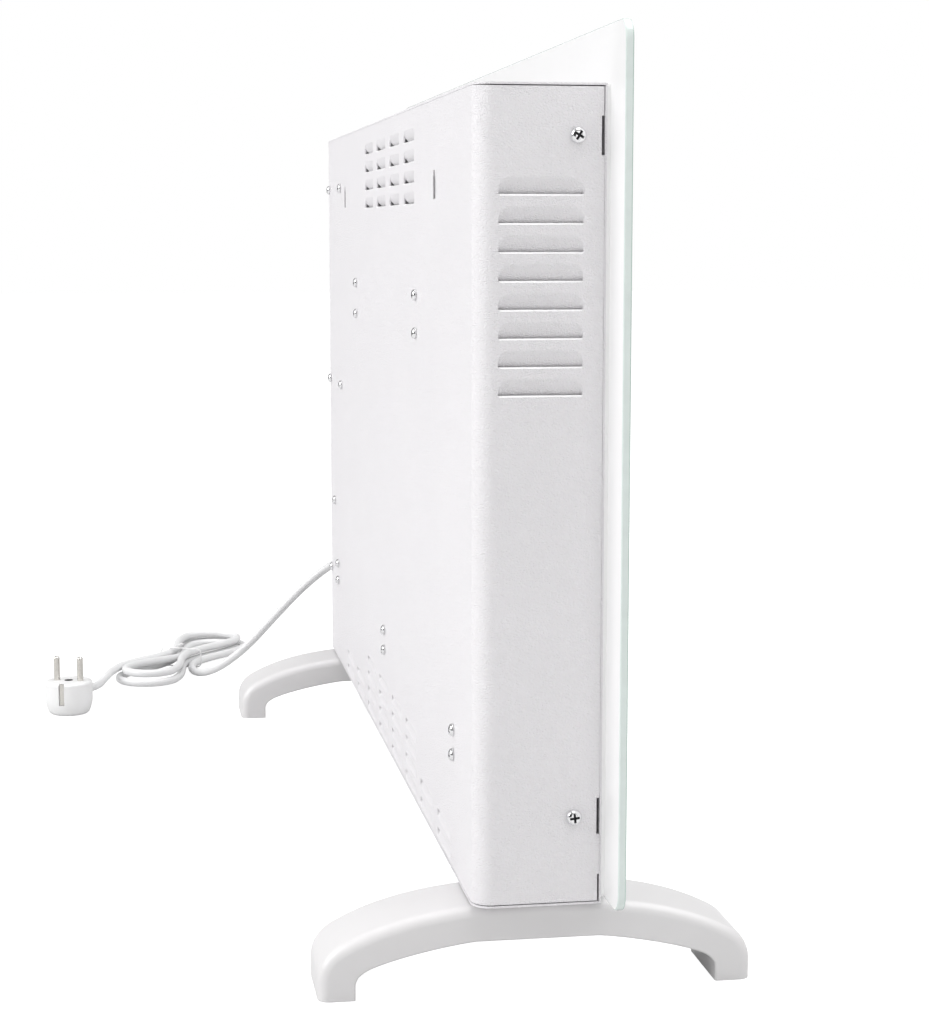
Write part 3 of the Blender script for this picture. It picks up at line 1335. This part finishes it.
def make_knob():
    skirt = KNOB_SKIRT_HEIGHT
    grip = KNOB_GRIP_RADIUS
    top = KNOB_HEIGHT
    bore = SHAFT_RADIUS + SEAT_GAP
    profile = [(0.0, top - KNOB_CROWN[0][1])]
    profile += [(grip + out, top - down) for out, down in KNOB_CROWN]
    profile += [(grip + out, skirt + up) for out, up in KNOB_ROOT]
    profile += [(KNOB_RADIUS - inward, skirt - down) for inward, down in KNOB_EDGE]
    profile += [(KNOB_RADIUS, 0.0), (bore, 0.0), (bore, KNOB_BORE_DEPTH), (0.0, KNOB_BORE_DEPTH)]
    blank = turned_mesh("knob_cap", profile, KNOB_STEPS)
    grooves = bmesh.new()
    for i in range(GROOVE_COUNT):
        angle = 2 * math.pi * (i + 0.5) / GROOVE_COUNT
        x = (grip + GROOVE_STANDS_OUT) * math.cos(angle)
        y = (grip + GROOVE_STANDS_OUT) * math.sin(angle)
        ends = ((x, y, skirt + GROOVE_RISE), (x, y, top + OVERRUN))
        rod(grooves, *ends, GROOVE_RADIUS, GROOVE_STEPS)
    half = POINTER_HALF_WIDTH
    pointer = box_mesh("pointer", (-grip - OVERRUN, -half, top - POINTER_DEPTH),
                       (-grip / 3, half, top + OVERRUN))
    mesh = carved(blank, ("DIFFERENCE", finish_mesh(grooves, "grooves")), ("DIFFERENCE", pointer))

    def in_pointer(face):
        x, y, z = face.center
        on_floor = abs(z - top + POINTER_DEPTH) < 2 * WELD
        return abs(y) < half * POINTER_PAINT_SHARE and x < -grip / 3 and on_floor

    paint(mesh, (WHITE, MARKS), in_pointer)
    place = Matrix.Translation((BEZEL_FACE_X + KNOB_STANDS_OFF, BEZEL_Y, KNOB_Z)) @ RIGHT_FACING
    moved(mesh, place)
    knob = ["thermostat_knob"]
    piece("knob_cap", mesh, WHITE, knob, body="knob", sharp=35.0)


def make_rockers():
    back = BEZEL_FACE_X + SEAT_GAP
    face = back + ROCKER_FLANGE_THICKNESS
    case_y = ROCKER_CASE_WIDTH / 2
    case_z = ROCKER_CASE_HEIGHT / 2
    half_y = case_y - ROCKER_WALL
    half_z = case_z - ROCKER_WALL

    def block(name, z, low_x, high_x, wide, high):
        low = (low_x, BEZEL_Y - wide, z - high)
        return box_mesh(name, low, (high_x, BEZEL_Y + wide, z + high))

    for level, z in zip(("upper", "lower"), ROCKER_HEIGHTS):
        plan = rounded_rectangle((BEZEL_Y, z), ROCKER_FLANGE_WIDTH, ROCKER_FLANGE_HEIGHT,
                                 FLANGE_CORNER_RADIUS, 5)
        flange = outline_mesh(f"rocker_frame_{level}", [plan], ROCKER_FLANGE_THICKNESS)
        flange = bevelled(flange, FLANGE_EDGE, segments=3, angle=60.0)
        moved(flange, sideways((back + ROCKER_FLANGE_THICKNESS / 2, 0.0, 0.0)))
        floor_x = back - ROCKER_CASE_DEPTH
        case = block("case", z, floor_x, face - SHEET / 2, case_y, case_z)
        well = block("well", z, floor_x + ROCKER_WALL, face + OVERRUN, half_y, half_z)
        reach = case_y + SHEET
        ends = [(ROCKER_AXIS_X, BEZEL_Y + sign * reach, z) for sign in (-1, 1)]
        axle = rod_mesh(*ends, ROCKER_PIN_RADIUS + SEAT_GAP)
        mesh = carved(flange, ("UNION", case), ("DIFFERENCE", well), ("DIFFERENCE", axle))
        housing = [f"rocker_housing_{level}"]
        piece(f"rocker_frame_{level}", mesh, BLACK, housing)

        half = half_z - ROCKER_PLAY
        outline = []
        for step in range(ROCKER_STEPS + 1):
            along = half * (1 - 2 * step / ROCKER_STEPS)
            lift = half * math.tan(ROCKER_TILT) * (abs(along) / half) ** ROCKER_CREST_POWER
            outline.append((along, ROCKER_CENTRE_HEIGHT + lift))
        for share, depth_share in ROCKER_UNDERSIDE:
            outline.append((half * share, -ROCKER_DEPTH * depth_share))
        key = outline_mesh(f"rocker_key_{level}", [outline], 2 * (half_y - ROCKER_PLAY))
        key = bevelled(key, ROCKER_EDGE, segments=3, angle=50.0)
        moved(key, Matrix(((0, 1, 0, 0), (0, 0, 1, 0), (1, 0, 0, 0), (0, 0, 0, 1))))
        pin_half = case_y - SEAT_GAP
        pin = rod_mesh((0.0, -pin_half, 0.0), (0.0, pin_half, 0.0), ROCKER_PIN_RADIUS)
        key = carved(key, ("UNION", pin))
        tilt = Matrix.Rotation(-ROCKER_TILT, 4, "Y")
        moved(key, Matrix.Translation((ROCKER_AXIS_X, BEZEL_Y, z)) @ tilt)
        piece(f"rocker_key_{level}", key, WHITE, [f"rocker_{level}"],
              body=f"{level}_rocker")


# Gland, cord, tie and plug


def rib_points(height, radius, spacing, depth, form):
    return [(radius - depth * cut, height + spacing * share) for share, cut in form]


def make_gland():
    flange = GLAND_FLANGE_THICKNESS
    nose = flange + GLAND_NOSE_LENGTH
    tip = GLAND_TIP_RADIUS
    profile = [(0.0, nose), (tip - GLAND_TIP_EDGE, nose), (tip, nose - GLAND_TIP_EDGE)]
    ring = GLAND_NOSE_LENGTH / (GLAND_RIB_COUNT + 1)
    for rib in range(1, GLAND_RIB_COUNT + 1):
        along = rib * ring
        radius = tip + (GLAND_NOSE_RADIUS - tip) * along / GLAND_NOSE_LENGTH
        profile += rib_points(nose - along, radius, ring, GLAND_RIB_DEPTH, GLAND_RIB_FORM)
    profile += [
        (GLAND_NOSE_RADIUS, flange + GLAND_ROOT_FILLET),
        (GLAND_NOSE_RADIUS + GLAND_ROOT_FILLET, flange),
        (GLAND_FLANGE_RADIUS - GLAND_FLANGE_EDGE, flange),
        (GLAND_FLANGE_RADIUS, flange - GLAND_FLANGE_EDGE),
        (GLAND_FLANGE_RADIUS, 0.0),
        (GLAND_SHANK_RADIUS, 0.0),
        (GLAND_SHANK_RADIUS, -GLAND_SHANK_LENGTH),
        (0.0, -GLAND_SHANK_LENGTH),
    ]
    mesh = turned_mesh("strain_relief", profile, TURNED_STEPS)
    place = Matrix.Translation((GLAND_FACE_X, GLAND_Y, GLAND_Z)) @ RIGHT_FACING
    piece("strain_relief", mesh, WHITE, ["cord_gland"], place=place)


def hank_place(along, across, height):
    turned = Vector((along, across, 0.0))
    turned.rotate(Matrix.Rotation(HANK_TURN, 3, "Z"))
    return HANK_CENTRE + turned + Vector((0.0, 0.0, height))


def hank_loop_point(turn):
    shrink = min(turn, 2 * HALF_TURN_COUNT_IN - turn) * HANK_STEP / 2
    fold_radius = HANK_FOLD_RADIUS - shrink
    waist = HANK_WAIST_HALF - shrink
    whole = math.floor(turn)
    side = -1 if whole % 2 == 0 else 1
    part = 4 * (turn - whole)
    if 1 < part < 3:
        angle = math.pi * (part - 1) / 2
        along = -side * (HANK_RUN_HALF + fold_radius * math.sin(angle))
        return along, side * fold_radius * math.cos(angle)
    if part >= 3:
        part = part - 4
        side = -side
        along = side * HANK_RUN_HALF * -part
    else:
        along = -side * HANK_RUN_HALF * part
    swell = (1 - math.cos(math.pi * part)) / 2
    return along, side * (waist + (fold_radius - waist) * swell)


def hank_points(steps_in_half_turn):
    last = HALF_TURN_COUNT_IN + HALF_TURN_COUNT_OUT + 1 / 4
    count = int(round(last * steps_in_half_turn))
    points = [hank_place(0.0, -HANK_WAIST_HALF, HANK_LOW_Z)]
    points.append(hank_place(CORD_DIAMETER, -HANK_WAIST_HALF, HANK_LOW_Z))
    for step in range(1, count + 1):
        turn = step / steps_in_half_turn
        along, across = hank_loop_point(turn)
        climb = min(max(2 * (turn - HALF_TURN_COUNT_IN) + 1 / 2, 0), 1)
        climb = climb * climb * (3 - 2 * climb)
        place = hank_place(along, across, HANK_LOW_Z + HANK_LAYER_STEP * climb)
        if (place - points[0]).length > 2 * CORD_DIAMETER or turn > 1:
            points.append(place)
    return points


def smooth_line(knots, count):
    """Points at even steps along a smooth curve through the knots."""
    knots = [Vector(knot) for knot in knots]
    padded = [2 * knots[0] - knots[1]] + knots + [2 * knots[-1] - knots[-2]]
    fine = []
    for i in range(1, len(padded) - 2):
        before, start, end, after = padded[i - 1 : i + 3]
        for step in range(FINE_STEPS):
            t = step / FINE_STEPS
            tangent_a = (end - before) / 2
            tangent_b = (after - start) / 2
            point = (2 * t**3 - 3 * t**2 + 1) * start + (t**3 - 2 * t**2 + t) * tangent_a
            point += (3 * t**2 - 2 * t**3) * end + (t**3 - t**2) * tangent_b
            fine.append(point)
    fine.append(knots[-1])
    lengths = [0.0]
    for first, second in zip(fine, fine[1:]):
        lengths.append(lengths[-1] + (second - first).length)
    points = []
    index = 0
    for step in range(count):
        target = lengths[-1] * step / (count - 1)
        while index < len(fine) - 2 and lengths[index + 1] < target:
            index += 1
        span = lengths[index + 1] - lengths[index]
        points.append(fine[index].lerp(fine[index + 1], (target - lengths[index]) / span))
    return points


def plug_entry_tip():
    away = hank_place(-HANK_RUN_HALF, HANK_FOLD_RADIUS, 0.0) - PLUG_CENTRE
    away.z = 0.0
    away.normalize()
    tip = PLUG_CENTRE + away * PLUG_ENTRY_REACH + Vector((0.0, 0.0, PLUG_ENTRY_HEIGHT))
    return tip, away


def with_tail(hank):
    tip, away = plug_entry_tip()
    end = tip + away * SEAT_GAP
    knots = [hank[-2], hank[-1]]
    for share, sag in zip(TAIL_PLACE_SHARES, TAIL_SAGS):
        knots.append(hank[-1].lerp(end, share) - Vector((0.0, 0.0, sag)))
    knots += [end + away * CORD_DIAMETER, end]
    tail = smooth_line(knots, TAIL_STEPS + 2)
    reach = (hank[-1] - hank[-2]).length + CORD_DIAMETER
    return hank + [point for point in tail if (point - hank[-2]).length > reach]


def lead_points():
    start = Vector((GLAND_TIP_X + SEAT_GAP, GLAND_Y, GLAND_Z))
    knots = [start, start + Vector((CORD_DIAMETER, 0.0, 0.0))]
    knots += [Vector(point) for point in LEAD_ROUTE]
    knots += [hank_place(along, across, HANK_LOW_Z + lift) for along, across, lift in LEAD_LANDING]
    knots.append(hank_place(-CORD_DIAMETER, -HANK_WAIST_HALF, HANK_LOW_Z))
    knots.append(hank_place(-SEAT_GAP, -HANK_WAIST_HALF, HANK_LOW_Z))
    return smooth_line(knots, LEAD_STEPS)


def make_cord(plug_pieces):
    lead = lead_points()
    route = lead[:-1] + with_tail(hank_points(HANK_STEPS // 2))
    route = smooth_line(route, 4 * len(route))
    replaced = ["cord_lead", "cord_hank"]
    line = [(route, False)]
    obj = tube("mains_cord", line, CORD_RADIUS, CORD_RESOLUTION, PVC, replaced)


def make_tie():
    wide = HANK_WAIST_HALF + CORD_RADIUS + TIE_CLEARANCE + TIE_RADIUS
    low = SEAT_GAP + TIE_RADIUS
    high = HANK_HIGH_Z + CORD_RADIUS + TIE_CLEARANCE + TIE_RADIUS
    middle = (0.0, (low + high) / 2)
    corner = CORD_RADIUS * TIE_CORNER_SHARE
    outline = rounded_rectangle(middle, 2 * wide, high - low, corner, TIE_CORNER_STEPS)
    lines = [([hank_place(0.0, across, height) for across, height in outline], True)]
    for hand in (0.0, math.pi):
        strand = []
        for i in range(TWIST_POINT_COUNT):
            t = i / (TWIST_POINT_COUNT - 1)
            angle = hand + t * TWIST_TURNS * 2 * math.pi
            lift = TWIST_RISE + TWIST_RADIUS * math.sin(angle) - TWIST_DROOP * t
            across = TWIST_RADIUS * math.cos(angle) + TWIST_ACROSS
            along = TWIST_START + t * TWIST_LENGTH
            strand.append(hank_place(along, across, high + TIE_RADIUS + lift))
        lines.append((strand, False))
    replaced = ["hank_tie"]
    tube("wire_tie", lines, TIE_RADIUS, TIE_RESOLUTION, WHITE, replaced)


def plug_profile():
    edge = PLUG_EDGE
    rim = PLUG_RADIUS - edge
    profile = [(0.0, PLUG_HEIGHT), (rim, PLUG_HEIGHT)]
    for step in range(1, PLUG_EDGE_STEPS + 1):
        angle = math.pi / 2 * (1 - step / PLUG_EDGE_STEPS)
        drop = edge - edge * math.sin(angle)
        profile.append((rim + edge * math.cos(angle), PLUG_HEIGHT - drop))
    waist = PLUG_HEIGHT / 2
    for step in range(1, PLUG_WAIST_STEPS + 1):
        t = step / PLUG_WAIST_STEPS
        radius = PLUG_RADIUS + (PLUG_FOOT_RADIUS + edge / 2 - PLUG_RADIUS) * t * t
        profile.append((radius, waist + (edge - waist) * t))
    profile += [(PLUG_FOOT_RADIUS + edge / 6, edge / 2), (PLUG_FOOT_RADIUS - edge / 3, edge / 8)]
    return profile + [(PLUG_FOOT_RADIUS - edge, 0.0), (0.0, 0.0)]


def sleeve_mesh(reach):
    """The plug's cord sleeve, with rib grooves towards its tip."""
    tip = PLUG_ENTRY_TIP_RADIUS
    edge, drop = SLEEVE_TIP_EDGE
    profile = [(0.0, reach), (tip - edge, reach), (tip, reach - drop)]
    ribbed = reach * SLEEVE_RIBBED_SHARE
    gap = ribbed / SLEEVE_RIB_COUNT
    for rib in range(SLEEVE_RIB_COUNT):
        height = reach - ribbed * (rib + SLEEVE_FIRST_RIB) / SLEEVE_RIB_COUNT
        radius = tip + (PLUG_ENTRY_ROOT_RADIUS - tip) * (reach - height) / reach
        profile += rib_points(height, radius, gap, SLEEVE_RIB_DEPTH, SLEEVE_RIB_FORM)
    profile += [(PLUG_ENTRY_ROOT_RADIUS, 0.0), (0.0, 0.0)]
    return turned_mesh("sleeve", profile, TURNED_STEPS)


def pin_mesh():
    profile = [(0.0, PIN_LENGTH)]
    for step in range(1, PIN_TIP_STEPS + 1):
        angle = math.pi / 2 * (1 - step / PIN_TIP_STEPS)
        drop = PIN_RADIUS * PIN_TIP_SHARE * (1 - math.sin(angle))
        profile.append((PIN_RADIUS * math.cos(angle), PIN_LENGTH - drop))
    root = SEAT_GAP - PIN_SOCKET_DEPTH
    return turned_mesh("plug_pin", profile + [(PIN_RADIUS, root), (0.0, root)], PIN_STEPS)


def make_plug():
    place = Matrix.Translation(PLUG_CENTRE)
    blank = moved(turned_mesh("plug_shell", plug_profile(), PLUG_STEPS), place)
    tip, away = plug_entry_tip()
    root = PLUG_CENTRE + away * (PLUG_FOOT_RADIUS / 2) + Vector((0.0, 0.0, PLUG_ENTRY_HEIGHT))
    sleeve = sleeve_mesh((tip - root).length)
    turn = Vector((0.0, 0.0, 1.0)).rotation_difference(away).to_matrix().to_4x4()
    moved(sleeve, Matrix.Translation(root) @ turn)

    def lifted(point, rise):
        return point + Vector((0.0, 0.0, rise))

    across = Vector((-away.y, away.x, 0.0))
    earth = lifted(PLUG_CENTRE, PLUG_HEIGHT)
    pins = [earth + across * (sign * PIN_SPACING / 2) for sign in (-1, 1)]
    cuts = bmesh.new()
    for pin in pins:
        rod(cuts, lifted(pin, -PIN_SOCKET_DEPTH), lifted(pin, OVERRUN), PIN_RADIUS + SEAT_GAP)
    rod(cuts, lifted(earth, -EARTH_HOLE_DEPTH), lifted(earth, OVERRUN), EARTH_HOLE_RADIUS)
    slot_place = place @ Matrix.Rotation(math.atan2(away.y, away.x), 4, "Z")

    def slot_block(name, ends, width, low, high):
        return box_mesh(name, (min(ends), -width / 2, low), (max(ends), width / 2, high))

    clips = []
    for sign in (-1, 1):
        ends = (sign * (PLUG_RADIUS + OVERRUN), sign * (PLUG_RADIUS - CLIP_SLOT_DEPTH))
        bottom = PLUG_HEIGHT - CLIP_SLOT_HEIGHT
        if sign > 0:
            bottom = PLUG_ENTRY_HEIGHT + PLUG_ENTRY_ROOT_RADIUS
        slot = slot_block("slot", ends, CLIP_SLOT_WIDTH, bottom, PLUG_HEIGHT + OVERRUN)
        cuts.from_mesh(moved(slot, slot_place))
        clips.append((sign, bottom))
    body = carved(blank, ("UNION", sleeve), ("DIFFERENCE", finish_mesh(cuts, "cuts")))

    def in_earth_hole(face):
        out = (face.center - earth).to_2d().length
        floor = PLUG_HEIGHT - EARTH_HOLE_DEPTH * EARTH_HOLE_PAINT_SHARE
        return out < EARTH_HOLE_RADIUS * EARTH_HOLE_PAINT_SHARE and face.center.z > floor

    paint(body, (WHITE, BLACK), in_earth_hole)
    made = [piece("plug_shell", body, WHITE, ["plug_body"], sharp=35.0)]
    shared_pin = pin_mesh()
    for side, pin in zip(("left", "right"), pins):
        made.append(piece(f"pin_{side}", shared_pin, NICKEL, [f"plug_pin_{side}"],
                          place=Matrix.Translation(pin)))
    for side, (sign, bottom) in zip(("front", "rear"), clips):
        inner = sign * (PLUG_RADIUS - CLIP_SLOT_DEPTH + SEAT_GAP)
        ends = (inner, inner + sign * CLIP_THICKNESS)
        clip = slot_block(f"clip_{side}", ends, CLIP_WIDTH, bottom + SEAT_GAP, PLUG_HEIGHT)
        clip = moved(bevelled(clip, CLIP_THICKNESS / 4, segments=2), slot_place)
        made.append(piece(f"clip_{side}", clip, NICKEL, [f"plug_earth_clip_{side}"]))
    return made


# Inner parts keep their CAD shape and get real surfaces

INNER = {
    PLAIN: ("element_bracket_left", "element_bracket_centre", "element_bracket_right", "stay_left",
            "stay_right", "control_partition", "control_carrier", "thermostat_shaft"),
    FIN: ("heating_element_lower", "heating_element_upper", "heat_shield"),
    BLACK: ("thermal_cutout", "tip_over_switch", "cord_clamp", "thermostat"),
}


def dress_inner_nodes():
    for material, names in INNER.items():
        for name in names:
            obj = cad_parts[name]
            for slot in obj.material_slots:
                slot.material = material


# Studio


def quad_object(name, width, height, material):
    x, y = width / 2, height / 2
    mesh = bpy.data.meshes.new(name)
    mesh.from_pydata([(-x, -y, 0), (x, -y, 0), (x, y, 0), (-x, y, 0)], [], [(0, 1, 2, 3)])
    mesh.materials.append(material)
    return new_object(name, mesh)


def mix_to_output(tree, kind, share, first, second):
    """Mix two shaders by a share and lead the result to the output."""
    mix = add_node(tree, "MixShader")
    output = add_node(tree, "Output" + kind)
    link_all(
        tree,
        (share, mix.inputs["Fac"]),
        (first, mix.inputs[1]),
        (second, mix.inputs[2]),
        (mix.outputs["Shader"], output.inputs["Surface"]),
    )


def make_floor():
    material = bpy.data.materials.new("studio_paper")
    material.use_nodes = True
    tree = material.node_tree
    tree.nodes.clear()
    diffuse = add_node(tree, "BsdfDiffuse", Color=FLOOR_COLOUR)
    glow = add_node(tree, "Emission", Strength=FLOOR_GLOW)
    share = add_node(tree, "Math")
    share.operation = "MULTIPLY"
    share.inputs[1].default_value = FLOOR_GLOW_SHARE
    rays = add_node(tree, "LightPath")
    tree.links.new(rays.outputs["Is Camera Ray"], share.inputs[0])
    mix_to_output(tree, "Material", share.outputs["Value"], diffuse.outputs["BSDF"],
                  glow.outputs["Emission"])
    quad_object("studio_floor", FLOOR_SIZE, FLOOR_SIZE, material)


def make_world():
    world = bpy.data.worlds.new("studio_air")
    bpy.context.scene.world = world
    world.use_nodes = True
    tree = world.node_tree
    tree.nodes.clear()
    light = add_node(tree, "Background", Color=(1.0, 1.0, 1.0, 1.0), Strength=WORLD_STRENGTH)
    white = add_node(tree, "Background", Color=(1.0, 1.0, 1.0, 1.0))
    rays = add_node(tree, "LightPath")
    seen = add_node(tree, "Math")
    seen.operation = "MAXIMUM"
    tree.links.new(rays.outputs["Is Camera Ray"], seen.inputs[0])
    tree.links.new(rays.outputs["Is Transmission Ray"], seen.inputs[1])
    mix_to_output(tree, "World", seen.outputs["Value"], light.outputs["Background"],
                  white.outputs["Background"])


def add_lamp(name, place, target, size, power):
    data = bpy.data.lights.new(name, "AREA")
    data.shape = "SQUARE"
    data.size = size
    data.energy = power
    lamp = new_object(name, data)
    lamp.location = place
    lamp.rotation_euler = (Vector(target) - Vector(place)).to_track_quat("-Z", "Y").to_euler()


def add_card(name, place, width, height):
    """A dark card beside the lamps; only shiny surfaces see it, as an edge in reflections."""
    material = bpy.data.materials.new(name)
    material.use_nodes = True
    shader = material.node_tree.nodes["Principled BSDF"]
    shader.inputs["Base Color"].default_value = CARD_COLOUR
    card = quad_object(name, width, height, material)
    card.location = place
    card.rotation_euler = (CARD_TARGET - Vector(place)).to_track_quat("Z", "Y").to_euler()
    for ray in ("camera", "diffuse", "shadow", "transmission", "volume_scatter"):
        setattr(card, f"visible_{ray}", False)


def make_camera():
    data = bpy.data.cameras.new("photo_camera")
    data.sensor_fit = "AUTO"
    data.sensor_width = SENSOR_WIDTH
    data.lens = FOCAL_PIXELS / PICTURE_HEIGHT * SENSOR_WIDTH
    data.clip_start = NEAR_CLIP
    camera = new_object("photo_camera", data)
    flat = math.cos(CAMERA_PITCH)
    ahead = Vector((flat * math.cos(CAMERA_YAW), -flat * math.sin(CAMERA_YAW),
                    -math.sin(CAMERA_PITCH)))
    camera.location = CAMERA_PLACE
    camera.rotation_euler = ahead.to_track_quat("-Z", "Y").to_euler()
    bpy.context.scene.camera = camera


make_rear_cover()
make_front_chassis()
make_glass()
make_feet()
make_screws()
make_bezel()
make_knob()
make_rockers()
make_gland()
make_tie()
make_cord(make_plug())
dress_inner_nodes()
make_floor()
make_world()
for card in DARK_CARDS:
    add_card(*card)
for lamp in LAMPS:
    add_lamp(*lamp)
make_camera()
bpy.context.scene.view_settings.view_transform = "Standard"
